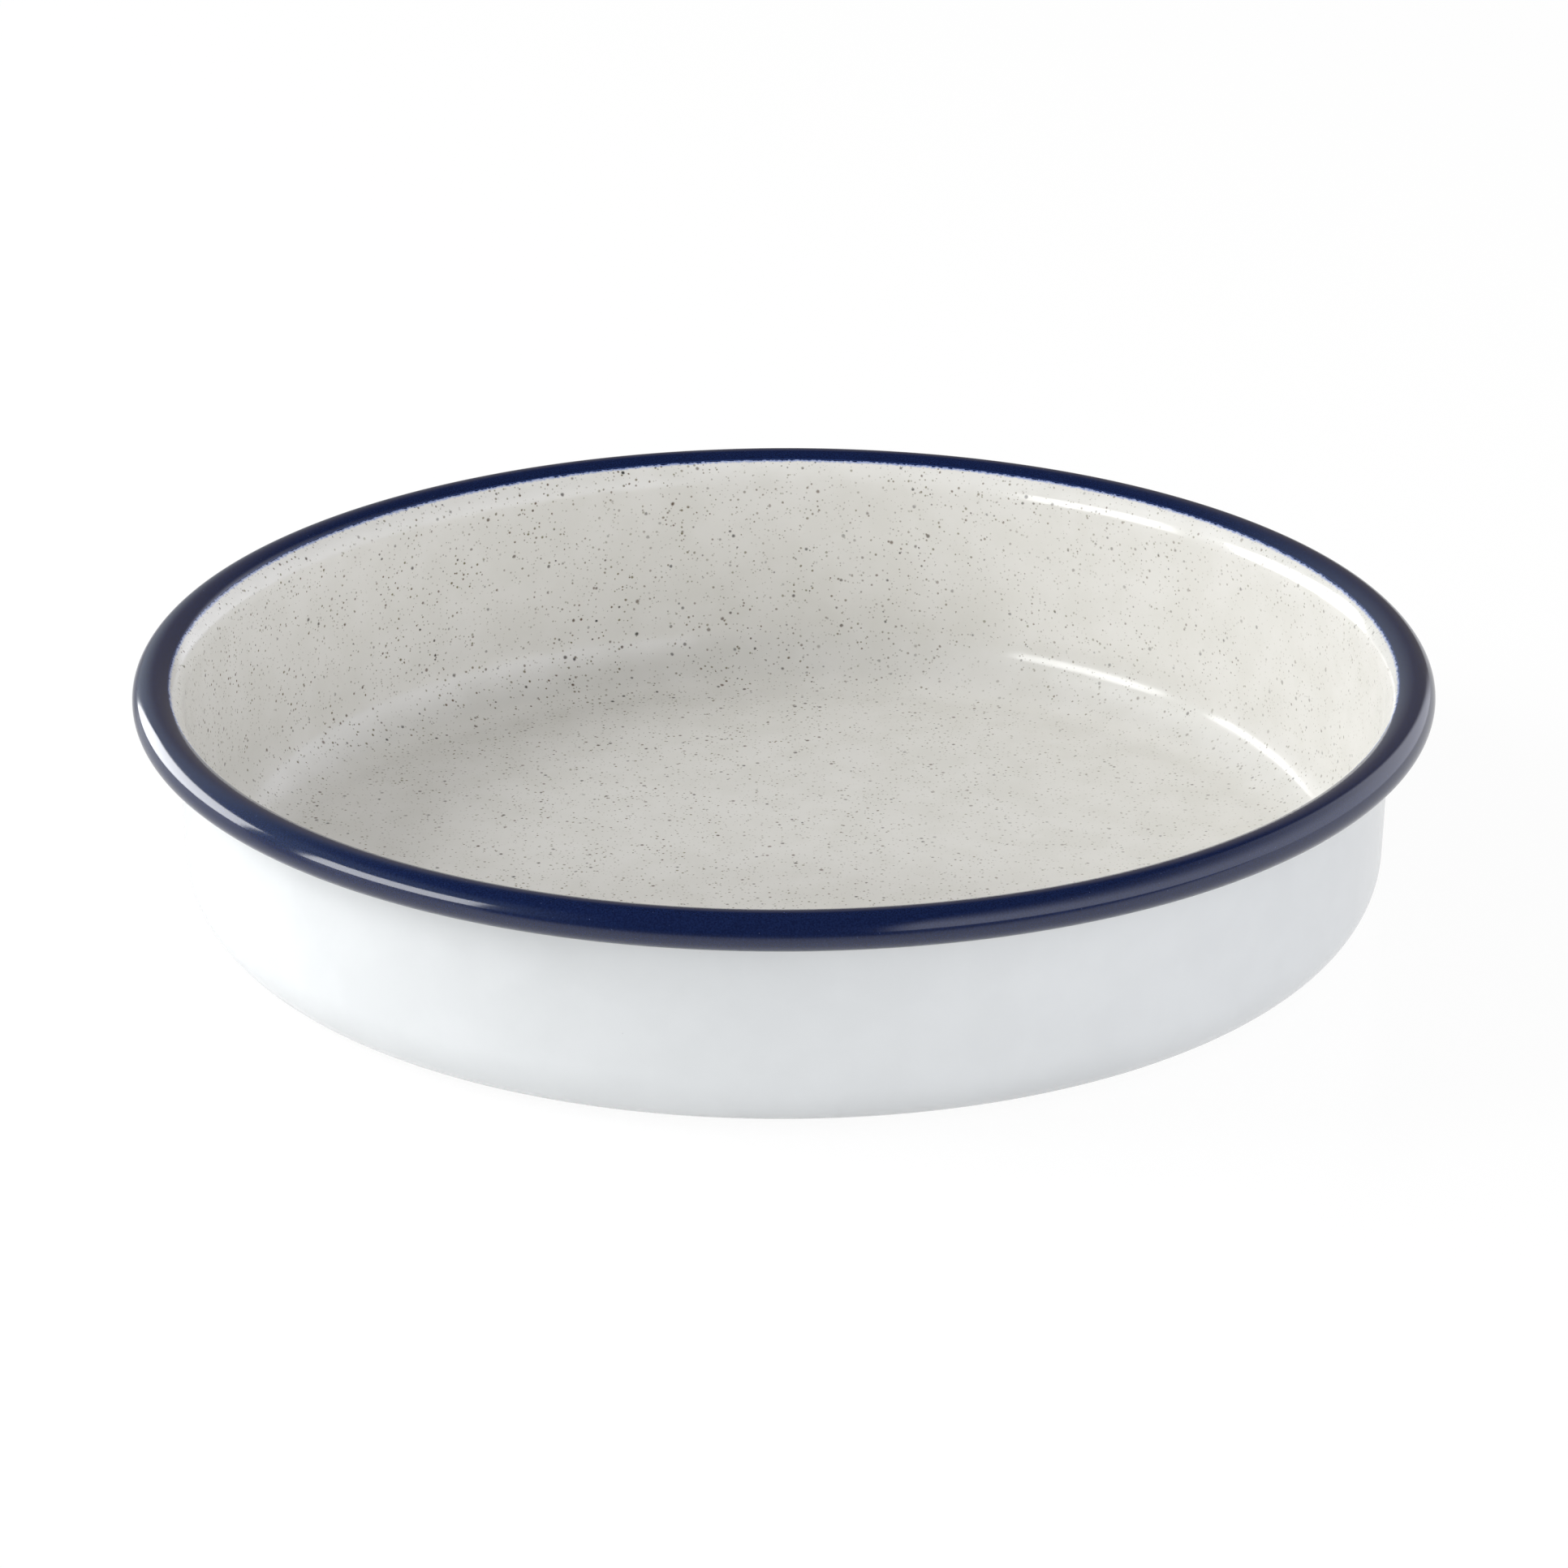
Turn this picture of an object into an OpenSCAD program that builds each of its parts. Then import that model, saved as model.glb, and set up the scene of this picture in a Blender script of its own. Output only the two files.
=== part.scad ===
// Round baking dish in enamelled sheet steel, with an outward rolled rim.
// One drawn steel pan carries four fired enamel coats, each a layer of its own:
// a dark ground coat all over, speckled white inside, plain white outside, blue on the rim.
// The origin is at the middle of the underside, where the dish stands, and +Z is up.

/* [Dish] */
// Diameter over the rolled rim
dish_d = 260; // [180:1:340]
// Height from the table to the top of the rim
dish_h = 50; // [35:1:90]
// Draft of the wall, in degrees from upright
wall_draft = 2.5; // [0:0.5:12]
// Outside radius of the corner between wall and base
corner_r = 14; // [6:0.5:24]

/* [Rolled rim] */
// Diameter of the roll, enamel included
roll_d = 7.8; // [6:0.1:11]
// How far the roll stands out from the inside of the wall
roll_step = 2.2; // [1:0.1:5]
// Radius on the inside of the wall where it flares into the roll
flare_r = 6.8; // [6.5:0.1:30]
// Slit left between the rolled edge and the back of the wall
roll_slit = 0.3; // [0.1:0.05:0.8]

/* [Sheet and enamel] */
// Thickness of the steel sheet
steel_t = 0.8; // [0.5:0.05:1.2]
// Thickness of the dark ground coat
ground_t = 0.15; // [0.1:0.01:0.2]
// Thickness of the speckled white coat inside
inner_t = 0.25; // [0.15:0.01:0.4]
// Thickness of the white coat outside
outer_t = 0.25; // [0.15:0.01:0.4]
// Thickness of the blue coat on the rim
rim_t = 0.25; // [0.15:0.01:0.4]
// How far the blue reaches down inside, below the top of the rim
rim_drop = 1.3; // [1:0.1:8]

/* [Hidden] */
$fn = 180;

// Depths in the sheet are measured from the steel's inside face, positive towards the food.
inside_ground = ground_t;
inside_white = ground_t + inner_t;
inside_blue = ground_t + rim_t;
back_steel = -steel_t;
back_ground = back_steel - ground_t;
back_white = back_ground - outer_t;

// Radii of the steel: inside face in the corner and the flare, outer face on the roll
corner_steel_r = corner_r + back_white;
flare_steel_r = flare_r - inside_white;
roll_r = roll_d / 2;
roll_steel_r = roll_r - inside_blue;

// The corner and the roll bulge this far past the face that they blend into, so that the two cross
hair = 0.001;

// Centre of the roll, and how far it lies outside the steel's inside face
roll_x = dish_d / 2 - roll_r;
roll_z = dish_h - roll_r;
wall_to_roll = roll_r + roll_step - inside_white;

// The sheet bends back by flare_a from the wall to the line through both centres
flare_to_roll = flare_steel_r - roll_steel_r + hair;
flare_a = acos((flare_steel_r - wall_to_roll) / flare_to_roll);

// Centre of the corner, and the straight length of the wall above it
corner_z = corner_r;
corner_to_roll = corner_steel_r + wall_to_roll;
roll_along_wall = (roll_z - corner_z + sin(wall_draft) * corner_to_roll) / cos(wall_draft);
corner_x = roll_x - corner_to_roll * cos(wall_draft) - roll_along_wall * sin(wall_draft);
wall_len = roll_along_wall - flare_to_roll * sin(flare_a);

// Turn of the roll, in degrees, until its steel would touch the back of the flare,
// then the steel's own turn, and that of its coats, which run on a little into the sheet
touch_turn = 180 + acos(
    (pow(roll_steel_r, 2) + pow(flare_to_roll, 2) - pow(flare_steel_r + back_steel, 2))
    / (2 * roll_steel_r * flare_to_roll));
steel_turn = touch_turn - roll_slit / roll_steel_r * 180 / PI;
coat_turn = touch_turn + 5;

// Height where the blue coat meets the speckled one, and a reach that clears the section
paint_z = dish_h - rim_drop;
clear = dish_d;

// Frames along the sheet, each placed in the one before, so that its faces meet exactly
module at_corner() {
    translate([corner_x, corner_z]) children();
}

module at_wall() {
    at_corner() rotate(-wall_draft) children();
}

module at_flare() {
    at_wall() translate([corner_steel_r + flare_steel_r, wall_len]) children();
}

module at_roll() {
    at_flare() translate([-cos(flare_a), sin(flare_a)] * flare_to_roll) children();
}

module upper_half() {
    translate([-clear, 0]) square([2 * clear, clear]);
}

module lower_half() {
    translate([-clear, -clear]) square([2 * clear, clear]);
}

module left_half() {
    translate([-clear, -clear]) square([clear, 2 * clear]);
}

// Half section of the room above the base and inside the wall, for a face at this depth
module bowl(depth) {
    intersection() {
        translate([0, depth - back_white]) square(clear);
        at_wall() translate([corner_steel_r - depth, 0]) left_half();
        union() {
            at_corner() circle(r = corner_steel_r - depth + hair);
            at_corner() left_half();
            at_wall() upper_half();
        }
    }
}

// Half section of a layer of the sheet, from the middle of the base to the end of the flare
module sheet(back, front) {
    difference() {
        bowl(back);
        bowl(front);
        at_flare() upper_half();
    }
    at_flare() difference() {
        circle(r = flare_steel_r + front);
        circle(r = flare_steel_r + back);
        lower_half();
        rotate(180 - flare_a) lower_half();
    }
}

module roll_disc(r) {
    at_roll() circle(r = r);
}

// Space behind the flare that the roll leaves open after turning this far
module roll_gap(back, turn) {
    intersection() {
        at_flare() circle(r = flare_steel_r + back);
        at_roll() rotate(180 - flare_a) upper_half();
        at_roll() rotate(180 - flare_a - turn) lower_half();
    }
}

// Half section of a layer of the sheet that goes on round the roll
module rolled_sheet(back, front, turn) {
    difference() {
        union() {
            sheet(back, front);
            roll_disc(roll_steel_r + front);
        }
        roll_disc(roll_steel_r + back);
        roll_gap(back, turn);
    }
}

// Inside of the dish below the blue
module white_zone() {
    difference() {
        square([roll_x, paint_z]);
        at_flare() circle(r = flare_steel_r);
    }
}

// Drawn and rolled sheet: base, corner, wall, flare and hollow roll in one piece
module steel_pan() {
    color("#8d9196") rotate_extrude() rolled_sheet(back_steel, 0, steel_turn);
}

// Dark first coat on every face of the steel but the inside of the roll
module ground_coat() {
    color("#2b2a2e") rotate_extrude() {
        difference() {
            rolled_sheet(0, inside_ground, coat_turn);
            sheet(back_steel, 0);
        }
        difference() {
            sheet(back_ground, back_steel);
            roll_disc(roll_steel_r);
        }
    }
}

// Speckled white coat on the food side, from the floor up to the blue
module inner_enamel() {
    color("#e4e3df") rotate_extrude() intersection() {
        sheet(inside_ground, inside_white);
        white_zone();
    }
}

// White coat under the base and up the outside of the wall to the roll
module outer_enamel() {
    color("#f3f4f5") rotate_extrude() difference() {
        sheet(back_white, back_ground);
        roll_disc(roll_r);
    }
}

// Blue coat round the roll, from its line inside to the groove between roll and wall
module rim_enamel() {
    color("#1f2f66") rotate_extrude() difference() {
        rolled_sheet(inside_ground, inside_blue, coat_turn);
        white_zone();
        sheet(back_ground, inside_ground);
    }
}

steel_pan();
ground_coat();
inner_enamel();
outer_enamel();
rim_enamel();
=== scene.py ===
from math import acos, asin, ceil, cos, pi, radians, sin

import bpy
from bpy.props import FloatProperty, FloatVectorProperty, IntProperty, PointerProperty
from mathutils import Matrix, Vector


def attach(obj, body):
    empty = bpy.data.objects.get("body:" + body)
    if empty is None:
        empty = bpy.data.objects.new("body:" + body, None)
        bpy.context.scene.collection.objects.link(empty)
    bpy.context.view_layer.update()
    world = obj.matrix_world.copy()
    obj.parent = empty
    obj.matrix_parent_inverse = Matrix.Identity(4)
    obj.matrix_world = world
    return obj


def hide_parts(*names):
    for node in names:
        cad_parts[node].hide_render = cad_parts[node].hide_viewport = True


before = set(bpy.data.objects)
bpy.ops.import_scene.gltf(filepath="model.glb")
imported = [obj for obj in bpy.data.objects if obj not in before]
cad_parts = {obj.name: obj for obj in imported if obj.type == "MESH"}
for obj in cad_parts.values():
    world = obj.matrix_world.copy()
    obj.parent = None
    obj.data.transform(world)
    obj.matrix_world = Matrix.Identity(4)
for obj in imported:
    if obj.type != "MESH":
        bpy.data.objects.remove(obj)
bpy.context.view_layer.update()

bl_info = {
    "name": "Enamelled baking dish",
    "version": (1, 0, 0),
    "blender": (4, 5, 0),
    "location": "3D View > Sidebar > Baking dish",
    "description":
        "Dresses the solid model of a round enamelled baking dish and sets up its studio",
    "category": "Object",
}

BODY = "root"
MM = 0.001


# Small helpers

def linear(hex_colour):
    """Turn an sRGB hex value into the linear colour that shaders take"""
    channels = [int(hex_colour[i:i + 2], 16) / 255 for i in (1, 3, 5)]
    return [c / 12.92 if c <= 0.04045 else ((c + 0.055) / 1.055) ** 2.4 for c in channels] + [1.0]


def colour_property(name, description, hex_colour):
    """A colour that the user can change, from an sRGB hex value"""
    return FloatVectorProperty(
        name=name, description=description, default=linear(hex_colour), size=4,
        min=0.0, max=1.0, subtype="COLOR")


def add_node(tree, kind, inputs=None, **settings):
    """Add a node with its own settings. Each input, by name or number, takes a value, a socket, or
    a node that stands for the first of its outputs in use. A Mix node for colours takes its share
    as input 0 and its two colours as inputs 6 and 7."""
    node = tree.nodes.new(kind)
    for name, value in settings.items():
        setattr(node, name, value)
    for key, value in (inputs or {}).items():
        if isinstance(value, bpy.types.Node):
            value = next(socket for socket in value.outputs if socket.enabled)
        if isinstance(value, bpy.types.NodeSocket):
            tree.links.new(value, node.inputs[key])
        else:
            node.inputs[key].default_value = value
    return node


def blank_material(name):
    """A new material, its empty tree and the socket that gives a point's place on the piece"""
    material = bpy.data.materials.new(name)
    material.use_nodes = True
    tree = material.node_tree
    tree.nodes.clear()
    return material, tree, add_node(tree, "ShaderNodeTexCoord").outputs["Object"]


# Sizes, colours and studio settings

class DishSizes(bpy.types.PropertyGroup):
    """Sizes of the dish, the same as those of the solid model"""
    dish_d: FloatProperty(
        name="Dish diameter", description="Diameter over the rolled rim",
        default=260 * MM, unit="LENGTH")
    dish_h: FloatProperty(
        name="Dish height", description="Height from the table to the top of the rim",
        default=50 * MM, unit="LENGTH")
    wall_draft: FloatProperty(
        name="Wall draft", description="Lean of the wall from upright",
        default=radians(2.5), subtype="ANGLE", unit="ROTATION")
    corner_r: FloatProperty(
        name="Corner radius", description="Outside radius between wall and base",
        default=14 * MM, unit="LENGTH")
    roll_d: FloatProperty(
        name="Roll diameter", description="Thickness of the rolled rim, enamel included",
        default=7.8 * MM, unit="LENGTH")
    roll_step: FloatProperty(
        name="Roll step", description="How far the roll stands out from the inside of the wall",
        default=2.2 * MM, unit="LENGTH")
    flare_r: FloatProperty(
        name="Flare radius", description="Radius where the wall flares into the roll",
        default=6.8 * MM, unit="LENGTH")
    steel_t: FloatProperty(
        name="Steel", description="Thickness of the sheet", default=0.8 * MM, unit="LENGTH")
    ground_t: FloatProperty(
        name="Ground coat", description="Thickness of the dark first coat",
        default=0.15 * MM, unit="LENGTH")
    coat_t: FloatProperty(
        name="Top coats", description="Thickness of the white and blue coats",
        default=0.25 * MM, unit="LENGTH")
    rim_drop: FloatProperty(
        name="Paint line",
        description="How far the blue reaches down inside, below the top of the rim",
        default=1.3 * MM, unit="LENGTH")
    blue_proud: FloatProperty(
        name="Blue stands proud",
        description="How far the blue edge stands above the white glaze",
        default=0.03 * MM, unit="LENGTH")
    segments: IntProperty(
        name="Segments", description="Faces round the dish", default=480, min=48, max=720)
    ripple_depth: FloatProperty(
        name="Ripple depth", description="Depth of the slow waves that a fired glaze keeps",
        default=0.02 * MM, unit="LENGTH")
    ripple_size: FloatProperty(
        name="Ripple size", description="Distance from wave to wave",
        default=14 * MM, unit="LENGTH")


class EnamelColours(bpy.types.PropertyGroup):
    """Colours of the enamels and of the steel under them"""
    inside: colour_property("Inside", "Warm white glaze inside", "#E7E5E0")
    inside_cloud: colour_property("Inside, clouds", "Darker clouds in that white", "#DEDCD5")
    outside: colour_property("Outside", "Cool white glaze outside", "#E9EBEC")
    outside_cloud: colour_property("Outside, clouds", "Darker clouds in that white", "#E4E6E7")
    outside_speck: colour_property("Outside, specks", "The few specks outside", "#9C9A92")
    blue: colour_property("Blue", "Cobalt blue glaze of the rim", "#0C183C")
    blue_grain: colour_property("Blue, grain", "Lighter grain in the blue", "#16254E")
    blue_speck: colour_property("Blue, specks", "Pale specks in the blue", "#7F8FB8")
    blue_thin: colour_property("Blue, thin", "The blue where it thins out over white", "#5E7CC4")
    # Dark brown band along the underside of the roll, from about 50 degrees round it
    under_roll_brown: colour_property("Brown edge under the roll", "Dark brown band on the underside of the roll", "#2E2720")
    speck_olive: colour_property("Olive specks", "Lightest specks inside", "#7E7A5C")
    speck_brown: colour_property("Brown specks", "Middle specks inside", "#6B5848")
    speck_dark: colour_property("Dark specks", "Darkest specks inside", "#2F2F2C")
    ground: colour_property("Ground coat", "Blue-black first coat", "#25242A")
    ground_cloud: colour_property("Ground coat, clouds", "Lighter clouds in it", "#33323A")
    ground_speck: colour_property("Ground coat, specks", "Oxide specks in it", "#4A5270")
    steel: colour_property("Steel", "Bare steel sheet", "#A3A6AB")
    steel_grain: colour_property("Steel, grain", "Lighter rolling grain", "#B4B7BB")


class StudioSettings(bpy.types.PropertyGroup):
    """Camera, light and table of the photograph"""
    distance: FloatProperty(
        name="Camera distance", description="From the middle of the rim to the camera",
        default=1.56, unit="LENGTH")
    rise: FloatProperty(
        name="Camera height", description="Angle of the camera above the rim",
        default=0.37515, subtype="ANGLE", unit="ROTATION")
    dip: FloatProperty(
        name="Aim below the rim",
        description="Angle by which the camera aims below the middle of the rim",
        default=0.01321, subtype="ANGLE", unit="ROTATION")
    tilt: FloatProperty(
        name="Horizon tilt", description="Roll of the camera about its own axis",
        default=0.00208, subtype="ANGLE", unit="ROTATION")
    lens: FloatProperty(
        name="Lens", description="Focal length in millimetres on a 36 mm sensor", default=179.04,
        unit="CAMERA")
    shine: FloatProperty(
        name="Softboxes in the gloss",
        description="Brightness of the softboxes as the glaze mirrors them", default=6.5)
    card: FloatProperty(
        name="White card", description="Brightness of the card on the right in the gloss",
        default=1.45)
    table: colour_property("Table", "White table under the dish", "#F2F2F1")


# Half section of the enamelled sheet

# Angle from point to point on the arcs, and rings on the floor
SHOWN_FACE = (radians(3.5), 14)
HIDDEN_FACE = (radians(9), 4)


class Section:
    """Centres and radii of the half section, worked out from the sizes as the solid model does.
    Depths are measured from the steel's inside face, positive towards the food."""

    def __init__(self, sizes):
        self.food = sizes.ground_t + sizes.coat_t
        self.ground = sizes.ground_t
        self.under = -sizes.steel_t - sizes.ground_t
        self.outside = self.under - sizes.coat_t
        self.draft = sizes.wall_draft
        self.corner_r = sizes.corner_r + self.outside
        self.flare_r = sizes.flare_r - self.food
        self.roll_r = sizes.roll_d / 2 - self.food
        wall_to_roll = sizes.roll_d / 2 + sizes.roll_step - self.food
        flare_to_roll = self.flare_r - self.roll_r
        bend = acos((self.flare_r - wall_to_roll) / flare_to_roll)
        self.roll = Vector(((sizes.dish_d - sizes.roll_d) / 2, sizes.dish_h - sizes.roll_d / 2))
        across = self.corner_r + wall_to_roll
        along = (self.roll.y - sizes.corner_r + sin(self.draft) * across) / cos(self.draft)
        self.corner = Vector((
            self.roll.x - across * cos(self.draft) - along * sin(self.draft), sizes.corner_r))
        self.flare_start = pi - self.draft
        self.flare_stop = pi - self.draft - bend
        self.flare = self.roll - flare_to_roll * Vector((
            cos(self.flare_stop), sin(self.flare_stop)))
        self.paint_z = sizes.dish_h - sizes.rim_drop

    def flare_angle(self, z, depth):
        """Angle round the flare's centre at which the face at this depth passes the height z"""
        return pi - asin((z - self.flare.y) / (self.flare_r + depth))

    def meeting(self, depth):
        """Where the face at this depth runs into the outside of the roll: how far that is from the
        line through both centres, as an angle round the flare's centre and one round the roll's"""
        roll, flare = self.roll_r + self.food, self.flare_r + depth
        apart = (self.flare - self.roll).length
        round_flare = acos((flare ** 2 + apart ** 2 - roll ** 2) / (2 * flare * apart))
        round_roll = acos((roll ** 2 + apart ** 2 - flare ** 2) / (2 * roll * apart))
        return round_flare, round_roll

    def arc(self, centre, radius, start, stop, step):
        """Points on an arc, both ends included, about step apart in angle"""
        count = max(2, ceil(abs(stop - start) / step))
        turns = [start + (stop - start) * i / count for i in range(count + 1)]
        return [centre + radius * Vector((cos(turn), sin(turn))) for turn in turns]

    def face(self, depth, stop, step, floor_rings):
        """The sheet's face at this depth, from the axis along floor, corner, wall and flare"""
        height = depth - self.outside
        points = [Vector((self.corner.x * i / floor_rings, height)) for i in range(floor_rings)]
        points += self.arc(self.corner, self.corner_r - depth, -pi / 2, -self.draft, step)
        flare = self.arc(self.flare, self.flare_r + depth, self.flare_start, stop, step)
        # Points up the wall, so that it can take the ripple too
        points += [points[-1].lerp(flare[0], share) for share in (0.25, 0.5, 0.75)]
        return points + flare


# Turning a section into a skin

def turned_skin(name, points, material, sizes):
    """Turn a half section about the Z axis with Geometry Nodes and keep the result as a plain
    mesh. A section that starts on the axis ends on it too, and any other is closed to a ring."""
    if points[0].x > 0:
        points = points + points[:1]
    mesh = bpy.data.meshes.new(name)
    mesh.from_pydata(
        [(p.x, 0, p.y) for p in points], [(i, i + 1) for i in range(len(points) - 1)], [])
    piece = bpy.data.objects.new(name, mesh)
    bpy.context.scene.collection.objects.link(piece)
    tree = bpy.data.node_groups.get("turned_skin") or turning_tree()
    modifier = piece.modifiers.new("turn", "NODES")
    modifier.node_group = tree
    values = {"Segments": sizes.segments, "Ripple depth": sizes.ripple_depth,
              "Ripple size": sizes.ripple_size, "Enamel": material}
    for socket in tree.interface.items_tree:
        if socket.name in values:
            modifier[socket.identifier] = values[socket.name]
    evaluated = piece.evaluated_get(bpy.context.evaluated_depsgraph_get())
    piece.data = bpy.data.meshes.new_from_object(evaluated)
    piece.data.name = name
    piece.modifiers.clear()
    # Three corners of each face give a volume, positive where the faces point outwards
    corners = [[piece.data.vertices[i].co for i in face.vertices[:3]]
               for face in piece.data.polygons]
    if sum(first.cross(second).dot(third) for first, second, third in corners) <= 0:
        raise RuntimeError(f"{name} is empty or its faces point inwards")
    return piece


def turning_tree():
    """Geometry Nodes that turn a line of points in the XZ plane about Z: one row of a grid for
    each point, seam and poles merged, then slow waves pressed a hair into the surface"""
    tree = bpy.data.node_groups.new("turned_skin", "GeometryNodeTree")
    for name, kind in (("Section", "NodeSocketGeometry"), ("Segments", "NodeSocketInt"),
                       ("Ripple depth", "NodeSocketFloat"), ("Ripple size", "NodeSocketFloat"),
                       ("Enamel", "NodeSocketMaterial")):
        tree.interface.new_socket(name=name, in_out="INPUT", socket_type=kind)
    tree.interface.new_socket(name="Skin", in_out="OUTPUT", socket_type="NodeSocketGeometry")
    given = add_node(tree, "NodeGroupInput").outputs
    rows = add_node(tree, "GeometryNodeAttributeDomainSize", {
        "Geometry": given["Section"]}).outputs["Point Count"]
    columns = add_node(tree, "ShaderNodeMath", {0: given["Segments"], 1: 1}, operation="ADD")
    grid = add_node(tree, "GeometryNodeMeshGrid", {
        "Size X": 1, "Size Y": 1, "Vertices X": columns, "Vertices Y": rows})
    # The grid counts its points up each column in turn
    index = add_node(tree, "GeometryNodeInputIndex")
    row = add_node(tree, "ShaderNodeMath", {0: index, 1: rows}, operation="MODULO")
    column = add_node(tree, "ShaderNodeMath", {0: index, 1: rows}, operation="DIVIDE")
    column = add_node(tree, "ShaderNodeMath", {0: column}, operation="FLOOR")
    share = add_node(tree, "ShaderNodeMath", {
        0: column, 1: given["Segments"]}, operation="DIVIDE")
    turn = add_node(tree, "ShaderNodeMath", {0: share, 1: -2 * pi}, operation="MULTIPLY")
    position = add_node(tree, "GeometryNodeInputPosition")
    point = add_node(tree, "GeometryNodeSampleIndex", {
        "Geometry": given["Section"], "Value": position, "Index": row},
        data_type="FLOAT_VECTOR", domain="POINT")
    turned = add_node(tree, "ShaderNodeVectorRotate", {
        "Vector": point, "Angle": turn}, rotation_type="Z_AXIS")
    skin = add_node(tree, "GeometryNodeSetPosition", {"Geometry": grid, "Position": turned})
    skin = add_node(tree, "GeometryNodeMergeByDistance", {
        "Geometry": skin, "Distance": 0.0005 * MM})
    # Waves of the glaze, pressed in along the normal
    scale = add_node(tree, "ShaderNodeMath", {0: 1, 1: given["Ripple size"]}, operation="DIVIDE")
    waves = add_node(tree, "ShaderNodeTexNoise", {
        "Vector": position, "Scale": scale, "Detail": 1.5})
    press = add_node(tree, "ShaderNodeMath", {
        0: waves, 1: given["Ripple depth"]}, operation="MULTIPLY")
    press = add_node(tree, "ShaderNodeMath", {0: press, 1: -1}, operation="MULTIPLY")
    normal = add_node(tree, "GeometryNodeInputNormal")
    offset = add_node(tree, "ShaderNodeVectorMath", {
        "Vector": normal, "Scale": press}, operation="SCALE")
    skin = add_node(tree, "GeometryNodeSetPosition", {"Geometry": skin, "Offset": offset})
    skin = add_node(tree, "GeometryNodeSetShadeSmooth", {"Geometry": skin})
    skin = add_node(tree, "GeometryNodeRealizeInstances", {"Geometry": skin})
    skin = add_node(tree, "GeometryNodeSetMaterial", {
        "Geometry": skin, "Material": given["Enamel"]})
    add_node(tree, "NodeGroupOutput", {0: skin})
    return tree


# Materials

def orange_peel(tree, place, size, depth):
    """Normal of a fired glaze: fine, shallow waves, size and depth in metres"""
    waves = add_node(tree, "ShaderNodeTexNoise", {
        "Vector": place, "Scale": 1 / size, "Detail": 2.0, "Roughness": 0.45})
    return add_node(tree, "ShaderNodeBump", {"Height": waves, "Distance": depth})


def specks(tree, place, spacing, smallest, largest, strength):
    """Specks in the glaze: round grains, one in each cell, with radii from smallest to largest.
    Gives how strongly a point is covered and a random value for each speck."""
    cells = add_node(tree, "ShaderNodeTexVoronoi", {"Vector": place, "Scale": 1 / spacing}).outputs
    chance = add_node(tree, "ShaderNodeSeparateColor", {0: cells["Color"]}).outputs
    edge = add_node(tree, "ShaderNodeMapRange", {
        "Value": chance[0], "To Min": smallest / spacing, "To Max": largest / spacing})
    # Full strength out to 0.35 of its radius, and from there a speck melts into the glaze
    core = add_node(tree, "ShaderNodeMath", {0: edge, 1: 0.35}, operation="MULTIPLY")
    cover = add_node(tree, "ShaderNodeMapRange", {
        "Value": cells["Distance"], "From Min": edge, "From Max": core, "To Max": strength},
        interpolation_type="SMOOTHSTEP")
    return cover, chance[1]


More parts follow.
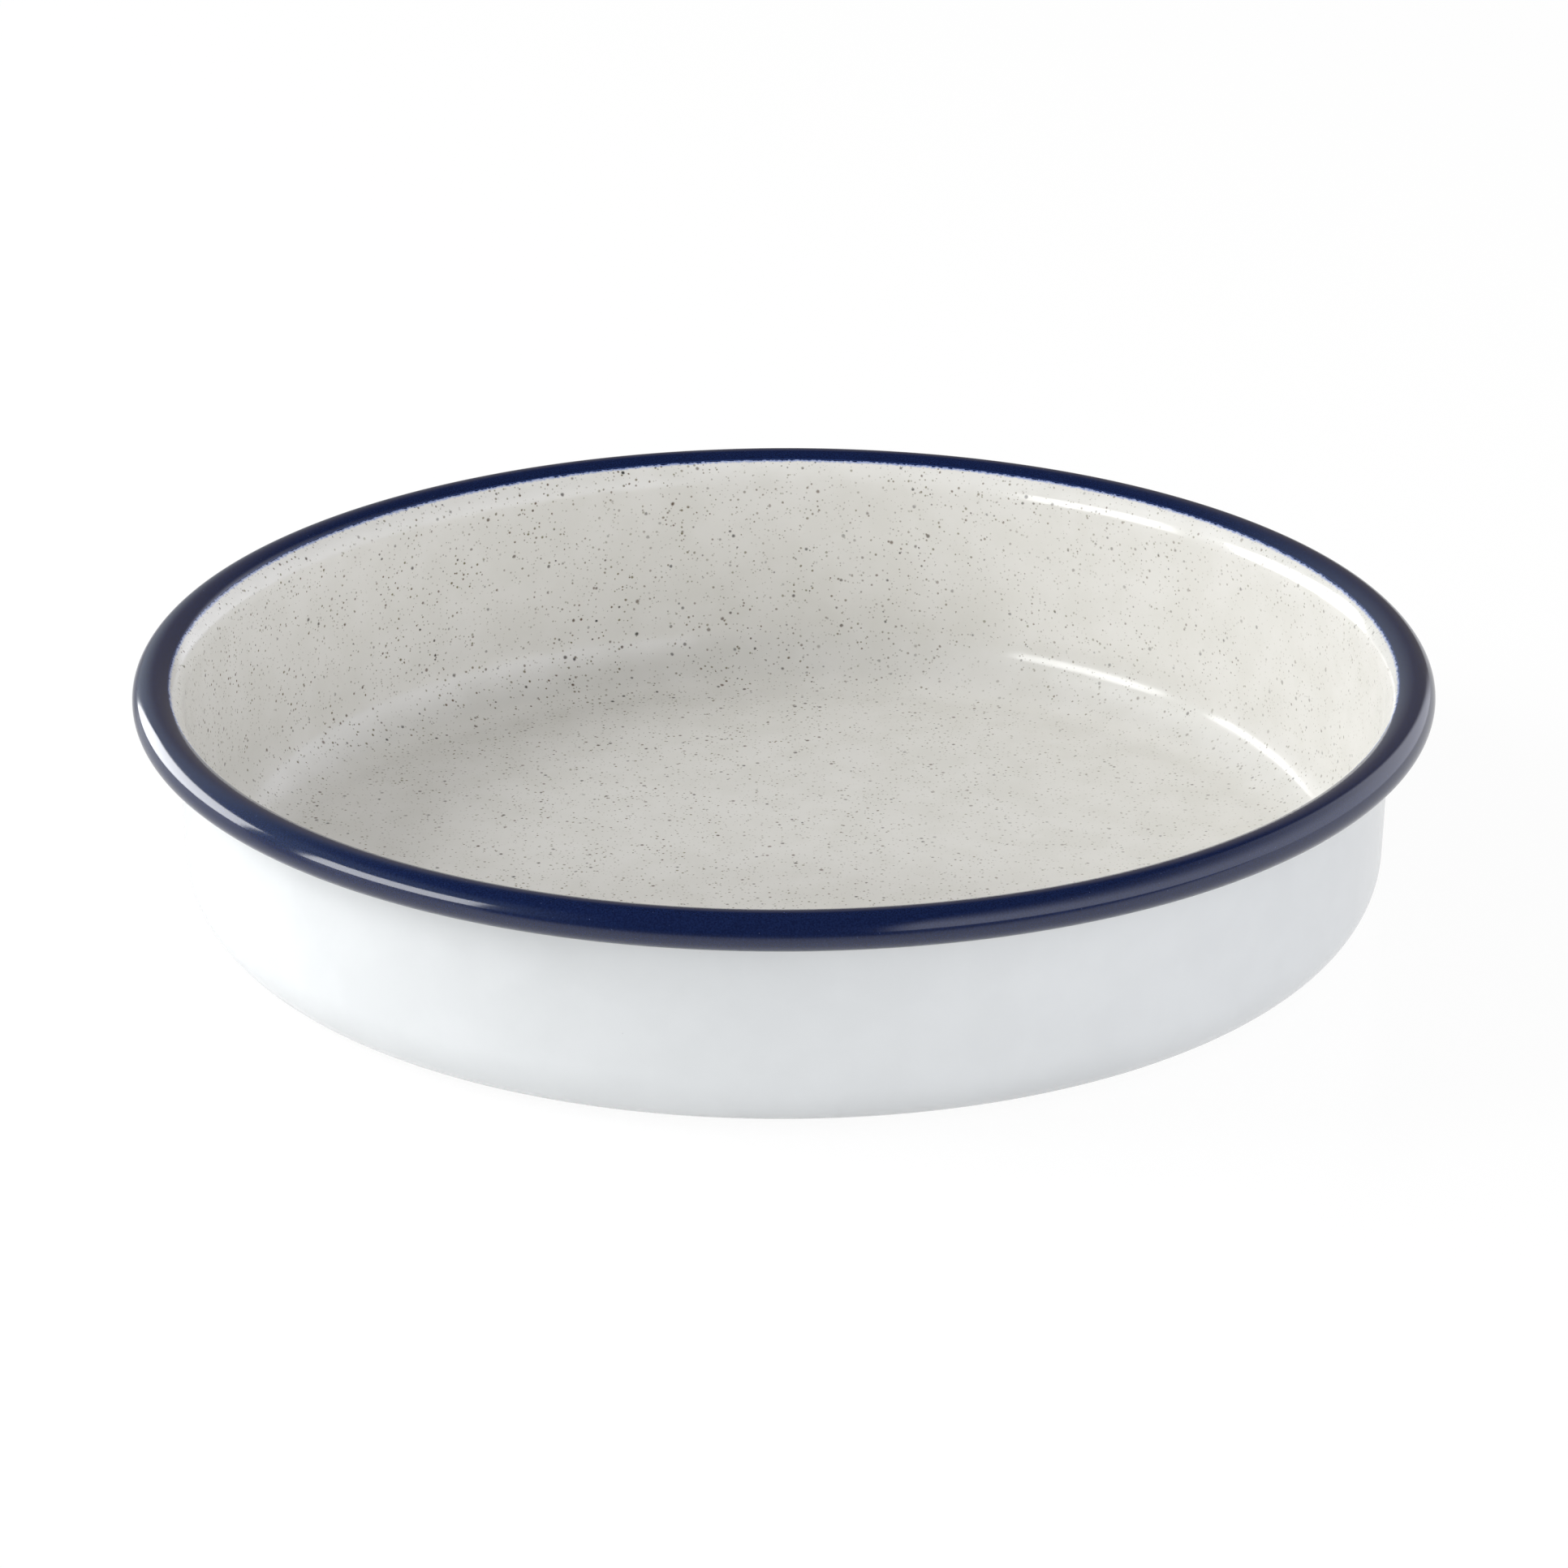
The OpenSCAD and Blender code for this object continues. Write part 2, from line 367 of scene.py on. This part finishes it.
def speckled_white(colours, section):
    """Speckled vitreous enamel, sprayed and fired: a warm white glass with iron specks melted into
    it. It gives the eye soft brown, olive and dark dots of 0.2 to 0.8 mm under an even gloss."""
    material, tree, place = blank_material("speckled_white_enamel")
    axes = add_node(tree, "ShaderNodeSeparateXYZ", {0: place}).outputs
    # Cloudy white: slow patches some 9 mm across, a few levels apart
    clouds = add_node(tree, "ShaderNodeTexNoise", {
        "Vector": place, "Scale": 1 / (9 * MM), "Detail": 3.0})
    clouds = add_node(tree, "ShaderNodeMapRange", {
        "Value": clouds, "From Min": 0.3, "From Max": 0.7, "To Max": 0.55},
        interpolation_type="SMOOTHSTEP")
    white = add_node(tree, "ShaderNodeMix", {
        0: clouds, 6: colours.inside, 7: colours.inside_cloud}, data_type="RGBA")
    # The specks are a little ragged: their place is shaken by 0.12 mm each way
    shake = add_node(tree, "ShaderNodeTexNoise", {
        "Vector": place, "Scale": 1 / (0.9 * MM), "Detail": 1.0}).outputs["Color"]
    shake = add_node(tree, "ShaderNodeVectorMath", {
        0: shake, 1: (0.24 * MM,) * 3}, operation="MULTIPLY")
    shaken = add_node(tree, "ShaderNodeVectorMath", {0: place, 1: shake}, operation="ADD")
    # They gather in loose groups about 12 mm across. They also fade towards the right, where the
    # dish is lit more: painted light
    groups = add_node(tree, "ShaderNodeTexNoise", {
        "Vector": place, "Scale": 1 / (12 * MM), "Detail": 2.0})
    groups = add_node(tree, "ShaderNodeMapRange", {
        "Value": groups, "From Min": 0.32, "From Max": 0.62, "To Min": 0.5},
        interpolation_type="SMOOTHSTEP")
    side = add_node(tree, "ShaderNodeMapRange", {
        "Value": axes["X"], "From Min": 110 * MM, "From Max": -50 * MM, "To Min": 0.6},
        interpolation_type="SMOOTHSTEP")
    groups_and_lit_fade = add_node(tree, "ShaderNodeMath", {0: groups, 1: side}, operation="MULTIPLY")
    for spacing, smallest, largest, strength, pale, dark in (
            (0.95 * MM, 0.12 * MM, 0.30 * MM, 0.6, colours.speck_olive, colours.speck_brown),
            (1.35 * MM, 0.16 * MM, 0.42 * MM, 1.0, colours.speck_olive, colours.speck_brown),
            (2.60 * MM, 0.20 * MM, 0.60 * MM, 1.0, colours.speck_brown, colours.speck_dark)):
        cover, chance = specks(tree, shaken, spacing, smallest, largest, strength)
        cover = add_node(tree, "ShaderNodeMath", {0: cover, 1: groups_and_lit_fade}, operation="MULTIPLY")
        ink = add_node(tree, "ShaderNodeMix", {0: chance, 6: pale, 7: dark}, data_type="RGBA")
        white = add_node(tree, "ShaderNodeMix", {0: cover, 6: white, 7: ink}, data_type="RGBA")
    # The blue runs out over the white: a ragged line, a paler fringe and dark specks beside it
    line = section.paint_z
    ragged = add_node(tree, "ShaderNodeTexNoise", {
        "Vector": place, "Scale": 1 / (0.7 * MM), "Detail": 3.0})
    ragged = add_node(tree, "ShaderNodeMapRange", {
        "Value": ragged, "To Min": -0.3 * MM, "To Max": 0.3 * MM})
    height = add_node(tree, "ShaderNodeMath", {0: axes["Z"], 1: ragged}, operation="ADD")
    fringe = add_node(tree, "ShaderNodeMapRange", {
        "Value": height, "From Min": line - 0.42 * MM, "From Max": line - 0.02 * MM,
        "To Max": 0.75}, interpolation_type="SMOOTHSTEP")
    white = add_node(tree, "ShaderNodeMix", {
        0: fringe, 6: white, 7: colours.blue_thin}, data_type="RGBA")
    near = add_node(tree, "ShaderNodeMapRange", {
        "Value": height, "From Min": line - 1.6 * MM, "From Max": line - 0.1 * MM},
        interpolation_type="SMOOTHSTEP")
    cover, _ = specks(tree, shaken, 1.0 * MM, 0.08 * MM, 0.26 * MM, 0.8)
    cover = add_node(tree, "ShaderNodeMath", {0: cover, 1: near}, operation="MULTIPLY")
    white = add_node(tree, "ShaderNodeMix", {
        0: cover, 6: white, 7: colours.speck_dark}, data_type="RGBA")
    blue = add_node(tree, "ShaderNodeMapRange", {
        "Value": height, "From Min": line - 0.06 * MM, "From Max": line + 0.06 * MM},
        interpolation_type="SMOOTHSTEP")
    white = add_node(tree, "ShaderNodeMix", {
        0: blue, 6: white, 7: colours.blue}, data_type="RGBA")
    shader = add_node(tree, "ShaderNodeBsdfPrincipled", {
        "Base Color": white, "Roughness": 0.14, "IOR": 1.55,
        "Normal": orange_peel(tree, place, 1.6 * MM, 0.0035 * MM)})
    add_node(tree, "ShaderNodeOutputMaterial", {"Surface": shader})
    return material


def plain_white(colours):
    """White vitreous enamel, dipped and fired: opaque cool white glass with an even, wet gloss,
    the faintest clouding where the coat is a little thicker, and a few fine specks."""
    material, tree, place = blank_material("plain_white_enamel")
    clouds = add_node(tree, "ShaderNodeTexNoise", {
        "Vector": place, "Scale": 1 / (16 * MM), "Detail": 3.0})
    clouds = add_node(tree, "ShaderNodeMapRange", {
        "Value": clouds, "From Min": 0.35, "From Max": 0.65, "To Max": 0.6},
        interpolation_type="SMOOTHSTEP")
    white = add_node(tree, "ShaderNodeMix", {
        0: clouds, 6: colours.outside, 7: colours.outside_cloud}, data_type="RGBA")
    cover, _ = specks(tree, place, 7 * MM, 0.05 * MM, 0.22 * MM, 0.35)
    white = add_node(tree, "ShaderNodeMix", {
        0: cover, 6: white, 7: colours.outside_speck}, data_type="RGBA")
    shader = add_node(tree, "ShaderNodeBsdfPrincipled", {
        "Base Color": white, "Roughness": 0.16, "IOR": 1.55,
        "Normal": orange_peel(tree, place, 2.2 * MM, 0.003 * MM)})
    add_node(tree, "ShaderNodeOutputMaterial", {"Surface": shader})
    return material


def cobalt_blue(colours, section):
    """Cobalt blue vitreous enamel, brushed round the rim and fired: a deep navy glass, finely
    grained, paler where it thins out at its edge and dark brown on the underside of the roll."""
    material, tree, place = blank_material("blue_enamel")
    # Grain of undissolved pigment, coarser than the real one so that it shows in the render
    grain = add_node(tree, "ShaderNodeTexNoise", {
        "Vector": place, "Scale": 1 / (0.35 * MM), "Detail": 2.0})
    grain = add_node(tree, "ShaderNodeMapRange", {
        "Value": grain, "From Min": 0.3, "From Max": 0.75}, interpolation_type="SMOOTHSTEP")
    blue = add_node(tree, "ShaderNodeMix", {
        0: grain, 6: colours.blue, 7: colours.blue_grain}, data_type="RGBA")
    cover, _ = specks(tree, place, 1.5 * MM, 0.04 * MM, 0.14 * MM, 0.35)
    blue = add_node(tree, "ShaderNodeMix", {
        0: cover, 6: blue, 7: colours.blue_speck}, data_type="RGBA")
    # Height, and distance from the dish's axis
    height = add_node(tree, "ShaderNodeSeparateXYZ", {0: place}).outputs["Z"]
    flat = add_node(tree, "ShaderNodeVectorMath", {0: place, 1: (1, 1, 0)}, operation="MULTIPLY")
    radius = add_node(tree, "ShaderNodeVectorMath", {0: flat}, operation="LENGTH")
    # Paler just above the paint line inside: thin blue over white
    inside = add_node(tree, "ShaderNodeMapRange", {
        "Value": radius, "From Min": section.roll.x - 3.0 * MM,
        "From Max": section.roll.x - 3.35 * MM}, interpolation_type="SMOOTHSTEP")
    low = add_node(tree, "ShaderNodeMapRange", {
        "Value": height, "From Min": section.paint_z + 0.30 * MM,
        "From Max": section.paint_z + 0.08 * MM, "To Max": 0.35},
        interpolation_type="SMOOTHSTEP")
    thin = add_node(tree, "ShaderNodeMath", {0: inside, 1: low}, operation="MULTIPLY")
    blue = add_node(tree, "ShaderNodeMix", {
        0: thin, 6: blue, 7: colours.blue_thin}, data_type="RGBA")
    # Angle round the roll, 0 at its outermost line: the brown edge starts about 50 degrees down
    up = add_node(tree, "ShaderNodeMath", {0: height, 1: section.roll.y}, operation="SUBTRACT")
    out = add_node(tree, "ShaderNodeMath", {0: radius, 1: section.roll.x}, operation="SUBTRACT")
    angle = add_node(tree, "ShaderNodeMath", {0: up, 1: out}, operation="ARCTAN2")
    ragged = add_node(tree, "ShaderNodeTexNoise", {
        "Vector": place, "Scale": 1 / (1.1 * MM), "Detail": 3.0})
    ragged = add_node(tree, "ShaderNodeMapRange", {
        "Value": ragged, "To Min": -0.12, "To Max": 0.12})
    angle = add_node(tree, "ShaderNodeMath", {0: angle, 1: ragged}, operation="ADD")
    under_roll_brown = add_node(tree, "ShaderNodeMapRange", {
        "Value": angle, "From Min": radians(-49), "From Max": radians(-60)},
        interpolation_type="SMOOTHSTEP")
    blue = add_node(tree, "ShaderNodeMix", {0: under_roll_brown, 6: blue, 7: colours.under_roll_brown}, data_type="RGBA")
    shader = add_node(tree, "ShaderNodeBsdfPrincipled", {
        "Base Color": blue, "Roughness": 0.12, "IOR": 1.6,
        "Normal": orange_peel(tree, place, 0.9 * MM, 0.002 * MM)})
    add_node(tree, "ShaderNodeOutputMaterial", {"Surface": shader})
    return material


def rolled_steel(colours):
    """Cold-rolled steel sheet, bare under the enamel: grey metal with a fine rolling grain."""
    material, tree, place = blank_material("cold_rolled_steel")
    # Rolling grain: lines 0.3 mm apart that run 8 mm along X
    stretch = add_node(tree, "ShaderNodeMapping", {
        "Vector": place, "Scale": (1 / (8 * MM), 1 / (0.3 * MM), 1 / (0.3 * MM))})
    grain = add_node(tree, "ShaderNodeTexNoise", {"Vector": stretch, "Scale": 1.0, "Detail": 3.0})
    steel = add_node(tree, "ShaderNodeMix", {
        0: grain, 6: colours.steel, 7: colours.steel_grain}, data_type="RGBA")
    rough = add_node(tree, "ShaderNodeMapRange", {
        "Value": grain, "From Min": 0.2, "From Max": 0.8, "To Min": 0.28, "To Max": 0.42},
        interpolation_type="SMOOTHSTEP")
    bump = add_node(tree, "ShaderNodeBump", {
        "Height": grain, "Strength": 0.5, "Distance": 0.003 * MM})
    shader = add_node(tree, "ShaderNodeBsdfPrincipled", {
        "Base Color": steel, "Metallic": 1.0, "Roughness": rough, "Normal": bump})
    add_node(tree, "ShaderNodeOutputMaterial", {"Surface": shader})
    return material


def dark_ground(colours):
    """Dark ground-coat enamel, dipped and fired: blue-black glass, a little rough, with cobalt and
    nickel oxide specks that hold it to the steel."""
    material, tree, place = blank_material("dark_ground_enamel")
    clouds = add_node(tree, "ShaderNodeTexNoise", {
        "Vector": place, "Scale": 1 / (4 * MM), "Detail": 4.0})
    dark = add_node(tree, "ShaderNodeMix", {
        0: clouds, 6: colours.ground, 7: colours.ground_cloud}, data_type="RGBA")
    cover, _ = specks(tree, place, 1.2 * MM, 0.08 * MM, 0.25 * MM, 0.6)
    dark = add_node(tree, "ShaderNodeMix", {
        0: cover, 6: dark, 7: colours.ground_speck}, data_type="RGBA")
    shader = add_node(tree, "ShaderNodeBsdfPrincipled", {
        "Base Color": dark, "Roughness": 0.32, "IOR": 1.55,
        "Normal": orange_peel(tree, place, 0.8 * MM, 0.006 * MM)})
    add_node(tree, "ShaderNodeOutputMaterial", {"Surface": shader})
    return material


# Operators: one for each coat, one for the hidden layers, one for the stage

class DISH_OT_inside_coat(bpy.types.Operator):
    """Glaze the inside of the dish, from the middle of the floor to the blue"""
    bl_idname = "baking_dish.inside_coat"
    bl_label = "Inside coat"

    def execute(self, context):
        sizes, colours = context.scene.dish_sizes, context.scene.enamel_colours
        section = Section(sizes)
        surface = section.food - sizes.blue_proud
        # The glaze runs on under the edge of the blue
        lap = 0.5 * MM
        top = section.flare_angle(section.paint_z + lap, surface)
        front = section.face(surface, top, *SHOWN_FACE)
        back = section.face(section.ground, top, *HIDDEN_FACE)
        glaze = speckled_white(colours, section)
        piece = turned_skin("inside_coat", front + back[::-1], glaze, sizes)
        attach(piece, BODY)
        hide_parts("inner_enamel")
        return {"FINISHED"}


class DISH_OT_outside_coat(bpy.types.Operator):
    """Glaze the underside and the outside of the wall, up to the groove under the roll"""
    bl_idname = "baking_dish.outside_coat"
    bl_label = "Outside coat"

    def execute(self, context):
        sizes, colours = context.scene.dish_sizes, context.scene.enamel_colours
        section = Section(sizes)
        stops = [section.flare_stop + section.meeting(depth)[0]
                 for depth in (section.outside, section.under)]
        front = section.face(section.outside, stops[0], *SHOWN_FACE)
        back = section.face(section.under, stops[1], *HIDDEN_FACE)
        piece = turned_skin("outside_coat", back + front[::-1], plain_white(colours), sizes)
        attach(piece, BODY)
        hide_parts("outer_enamel")
        return {"FINISHED"}


class DISH_OT_rim_coat(bpy.types.Operator):
    """Glaze the rolled rim blue, from the ragged line inside to the groove under the roll"""
    bl_idname = "baking_dish.rim_coat"
    bl_label = "Blue rim"

    def execute(self, context):
        sizes, colours = context.scene.dish_sizes, context.scene.enamel_colours
        section = Section(sizes)
        flare_r, roll_r, bend = section.flare_r, section.roll_r, section.flare_stop
        front, back = section.food, section.ground
        # Round the underside of the roll, and on past the wall's glaze into the groove
        hidden_end = radians(6)
        groove = bend - pi - section.meeting(section.outside)[1] - hidden_end
        # The edge lies just above the ragged line and rounds off over this height and width, in
        # steps given as shares of them
        edge_z, edge_h, edge_w = section.paint_z + 0.1 * MM, 0.05 * MM, 0.12 * MM
        points = []
        for rise, run in ((0.0, 0.0), (0.55, 0.04), (0.85, 0.14), (0.97, 0.28)):
            depth = front - edge_h * (1 - rise)
            turn = section.flare_angle(edge_z, depth) - run * edge_w / flare_r
            points += [section.flare + (flare_r + depth) * Vector((cos(turn), sin(turn)))]
        start = section.flare_angle(edge_z, front) - 0.5 * edge_w / flare_r
        stop = section.flare_angle(edge_z, back)
        points += section.arc(section.flare, flare_r + front, start, bend, radians(1.5))
        points += section.arc(section.roll, roll_r + front, bend, groove, radians(4))[1:]
        points += section.arc(section.roll, roll_r + back, groove, bend, radians(10))
        points += section.arc(section.flare, flare_r + back, bend, stop, radians(3))[1:]
        piece = turned_skin("rim_coat", points, cobalt_blue(colours, section), sizes)
        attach(piece, BODY)
        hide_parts("rim_enamel")
        return {"FINISHED"}


class DISH_OT_hidden_layers(bpy.types.Operator):
    """Give the steel and its ground coat, both under the enamel, their own finishes"""
    bl_idname = "baking_dish.hidden_layers"
    bl_label = "Steel and ground coat"

    def execute(self, context):
        colours = context.scene.enamel_colours
        finishes = {"steel_pan": rolled_steel(colours), "ground_coat": dark_ground(colours)}
        for node, material in finishes.items():
            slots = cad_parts[node].material_slots
            if not slots:
                raise RuntimeError(f"{node} has no material slot")
            for slot in slots:
                slot.material = material
        return {"FINISHED"}


class DISH_OT_studio(bpy.types.Operator):
    """Set up the floor, the softboxes, the room and the camera of the photograph"""
    bl_idname = "baking_dish.studio"
    bl_label = "Studio"

    def execute(self, context):
        studio = context.scene.studio_settings
        self.add_floor(context, studio)
        # Two wide softboxes on the left, behind and in front, with a dark gap between them. Each
        # is two lamps in one place: one that the glaze mirrors and one that only lights the dish.
        rise, away, height, light = 11.4, 1.25, 0.505, 0.95
        for name, side, width in (("left_back", 148, 1.03), ("left_front", -157, 0.76)):
            box = (side, rise, away, width, height)
            self.add_softbox(context, f"{name}_shine", *box, studio.shine, True)
            self.add_softbox(context, f"{name}_light", *box, light, False)
        # Soft fill that the gloss doesn't mirror: side and rise, width and height, brightness
        fill_away = 1.7
        for name, side, rise, width, height, brightness in (
                ("fill_left_low", 180, 20, 1.0, 0.5, 6.2),
                ("fill_left_high", 180, 38, 1.0, 0.5, 7.1),
                ("fill_front", -75, 15, 1.0, 0.6, 2.3),
                ("fill_right", -35, 10, 1.0, 0.6, 2.6)):
            box = (side, rise, fill_away, width, height)
            self.add_softbox(context, name, *box, brightness, False)
        self.fill_room(context, studio)
        self.add_camera(context, studio, Section(context.scene.dish_sizes))
        context.scene.view_settings.view_transform = "Standard"
        return {"FINISHED"}

    def add_floor(self, context, studio):
        """A wide white table. To the camera it is nearly pure white, in the gloss it fades away
        from the dish, and a share of its own shading keeps the shadow of the dish."""
        half, gap = 8.0, 0.1 * MM
        corners = ((-half, -half), (half, -half), (half, half), (-half, half))
        mesh = bpy.data.meshes.new("floor")
        mesh.from_pydata([(x, y, -gap) for x, y in corners], [], [(0, 1, 2, 3)])
        floor = bpy.data.objects.new("floor", mesh)
        context.scene.collection.objects.link(floor)
        material, tree, place = blank_material("white_table")
        table = add_node(tree, "ShaderNodeBsdfPrincipled", {
            "Base Color": studio.table, "Roughness": 0.22, "IOR": 1.5})
        # In the gloss the table darkens away from the dish, towards the camera and to the left
        axes = add_node(tree, "ShaderNodeSeparateXYZ", {0: place}).outputs
        front = add_node(tree, "ShaderNodeMapRange", {
            "Value": axes["Y"], "From Min": -0.33, "From Max": -0.14, "To Max": 0.95},
            interpolation_type="SMOOTHSTEP")
        left = add_node(tree, "ShaderNodeMapRange", {
            "Value": axes["X"], "From Min": -0.27, "From Max": -0.10, "To Min": 0.4},
            interpolation_type="SMOOTHSTEP")
        gloss = add_node(tree, "ShaderNodeMath", {0: front, 1: left}, operation="MULTIPLY")
        # White as the camera sees it, a little over 1 to make up for the shaded share
        rays = add_node(tree, "ShaderNodeLightPath").outputs
        seen = add_node(tree, "ShaderNodeMath", {
            0: rays["Is Camera Ray"], 1: 1.035}, operation="MULTIPLY")
        strength = add_node(tree, "ShaderNodeMath", {0: gloss, 1: seen}, operation="MAXIMUM")
        white = add_node(tree, "ShaderNodeEmission", {
            "Color": linear("#FFFFFF"), "Strength": strength})
        # Share of that white: 0.9 for the camera, 0.8 for gloss and glass, the rest is shading
        mirrored = add_node(tree, "ShaderNodeMath", {
            0: rays["Is Glossy Ray"], 1: rays["Is Transmission Ray"]}, operation="MAXIMUM")
        mirrored = add_node(tree, "ShaderNodeMath", {0: mirrored, 1: 0.8}, operation="MULTIPLY")
        seen = add_node(tree, "ShaderNodeMath", {
            0: rays["Is Camera Ray"], 1: 0.9}, operation="MULTIPLY")
        share = add_node(tree, "ShaderNodeMath", {0: seen, 1: mirrored}, operation="MAXIMUM")
        both = add_node(tree, "ShaderNodeMixShader", {0: share, 1: table, 2: white})
        add_node(tree, "ShaderNodeOutputMaterial", {"Surface": both})
        mesh.materials.append(material)

    def add_softbox(self, context, name, side, rise, away, width, height, brightness, mirrored):
        """A softbox at this side and rise, in degrees, and this far away from the rim's middle. It
        is either mirrored in the glaze and upright, or it only lights the dish and faces it."""
        lamp = bpy.data.lights.new(name, "AREA")
        lamp.shape = "RECTANGLE"
        lamp.size, lamp.size_y = width, height
        lamp.energy = brightness * pi * width * height
        daylight = (0.98, 0.99, 1.0)
        lamp.color = daylight
        softbox = bpy.data.objects.new(name, lamp)
        context.scene.collection.objects.link(softbox)
        softbox.visible_glossy, softbox.visible_diffuse = mirrored, not mirrored
        side, rise = radians(side), radians(rise)
        way = Vector((cos(side) * cos(rise), sin(side) * cos(rise), sin(rise)))
        facing = Vector((-cos(side), -sin(side), 0)) if mirrored else -way
        turn = facing.to_track_quat("-Z", "Y").to_matrix().to_4x4()
        rim_middle = Vector((0, 0, 46 * MM))
        softbox.matrix_world = Matrix.Translation(way * away + rim_middle) @ turn

    def fill_room(self, context, studio):
        """The room: dark in front and above, brown-grey behind, a large white card on the right
        and the glow of the softboxes high on the left. The camera itself sees plain white."""
        world = bpy.data.worlds.new("studio_room")
        world.use_nodes = True
        context.scene.world = world
        tree = world.node_tree
        tree.nodes.clear()
        way = add_node(tree, "ShaderNodeTexCoord").outputs["Generated"]
        up = add_node(tree, "ShaderNodeSeparateXYZ", {0: way}).outputs["Z"]
        rays = add_node(tree, "ShaderNodeLightPath").outputs
        # The gloss sees the parts of the room at full strength on near black. Their soft light on
        # the dish is a quarter of that, and an even light takes its place.
        full = add_node(tree, "ShaderNodeMapRange", {
            "Value": rays["Is Glossy Ray"], "To Min": 0.25})
        light = add_node(tree, "ShaderNodeMapRange", {
            "Value": rays["Is Glossy Ray"], "To Min": 0.42, "To Max": 0.04})
        # Each part fades in as the way nears its side and as it sinks from its top
        for side, far, near, top, below, tint, strength in (
                (radians(-4), 0.31, 0.44, 0.96, 0.30, (0.97, 1.0, 1.12), studio.card),
                (radians(165), 0.20, 0.65, 0.86, 0.60, (0.72, 0.90, 1.0), 0.38),
                (radians(90), 0.30, 0.75, 0.75, 0.45, (1.0, 0.88, 0.74), 0.23)):
            facing = add_node(tree, "ShaderNodeVectorMath", {
                0: way, 1: (cos(side), sin(side), 0)}, operation="DOT_PRODUCT")
            facing = add_node(tree, "ShaderNodeMapRange", {
                "Value": facing, "From Min": far, "From Max": near, "To Max": strength},
                interpolation_type="SMOOTHSTEP")
            sunk = add_node(tree, "ShaderNodeMapRange", {
                "Value": up, "From Min": top, "From Max": below}, interpolation_type="SMOOTHSTEP")
            share = add_node(tree, "ShaderNodeMath", {0: facing, 1: sunk}, operation="MULTIPLY")
            share = add_node(tree, "ShaderNodeMath", {0: share, 1: full}, operation="MULTIPLY")
            part = add_node(tree, "ShaderNodeVectorMath", {
                "Vector": tint, "Scale": share}, operation="SCALE")
            light = add_node(tree, "ShaderNodeVectorMath", {0: light, 1: part}, operation="ADD")
        room = add_node(tree, "ShaderNodeBackground", {"Color": light})
        white = add_node(tree, "ShaderNodeBackground", {"Color": linear("#FFFFFF")})
        seen = add_node(tree, "ShaderNodeMath", {
            0: rays["Is Camera Ray"], 1: rays["Is Transmission Ray"]}, operation="MAXIMUM")
        both = add_node(tree, "ShaderNodeMixShader", {0: seen, 1: room, 2: white})
        add_node(tree, "ShaderNodeOutputWorld", {"Surface": both})

    def add_camera(self, context, studio, section):
        """The camera where the photograph was taken from, fitted to the outlines of the dish"""
        place = Vector((0, -cos(studio.rise), sin(studio.rise))) * studio.distance
        place.z += section.roll.y
        down = studio.rise + studio.dip
        ahead = Vector((0, cos(down), -sin(down)))
        right = Matrix.Rotation(studio.tilt, 3, ahead) @ Vector((1, 0, 0))
        above = right.cross(ahead)
        turn = Matrix((right, above, -ahead)).transposed().to_4x4()
        data = bpy.data.cameras.new("photo_camera")
        data.sensor_width = 36
        data.lens = studio.lens
        camera = bpy.data.objects.new("photo_camera", data)
        context.scene.collection.objects.link(camera)
        camera.matrix_world = Matrix.Translation(place) @ turn
        context.scene.camera = camera


class DISH_PT_panel(bpy.types.Panel):
    """Sizes, colours and steps of the dish"""
    bl_idname = "DISH_PT_panel"
    bl_label = "Baking dish"
    bl_space_type = "VIEW_3D"
    bl_region_type = "UI"
    bl_category = "Baking dish"

    def draw(self, context):
        for title, name in (("Sizes", "dish_sizes"), ("Colours", "enamel_colours"),
                            ("Studio", "studio_settings")):
            group = getattr(context.scene, name)
            box = self.layout.box()
            box.label(text=title)
            for key in group.bl_rna.properties.keys():
                if key not in ("rna_type", "name"):
                    box.prop(group, key)
        for step in STEPS:
            self.layout.operator(step.bl_idname)


GROUPS = {
    "dish_sizes": DishSizes, "enamel_colours": EnamelColours, "studio_settings": StudioSettings}
STEPS = (
    DISH_OT_inside_coat, DISH_OT_outside_coat, DISH_OT_rim_coat, DISH_OT_hidden_layers,
    DISH_OT_studio)
CLASSES = (*GROUPS.values(), *STEPS, DISH_PT_panel)


def register():
    for cls in CLASSES:
        bpy.utils.register_class(cls)
    for name, group in GROUPS.items():
        setattr(bpy.types.Scene, name, PointerProperty(type=group))


def unregister():
    for name in GROUPS:
        delattr(bpy.types.Scene, name)
    for cls in reversed(CLASSES):
        bpy.utils.unregister_class(cls)


def main():
    register()
    bpy.ops.baking_dish.inside_coat()
    bpy.ops.baking_dish.outside_coat()
    bpy.ops.baking_dish.rim_coat()
    bpy.ops.baking_dish.hidden_layers()
    bpy.ops.baking_dish.studio()


if __name__ == "__main__":
    main()
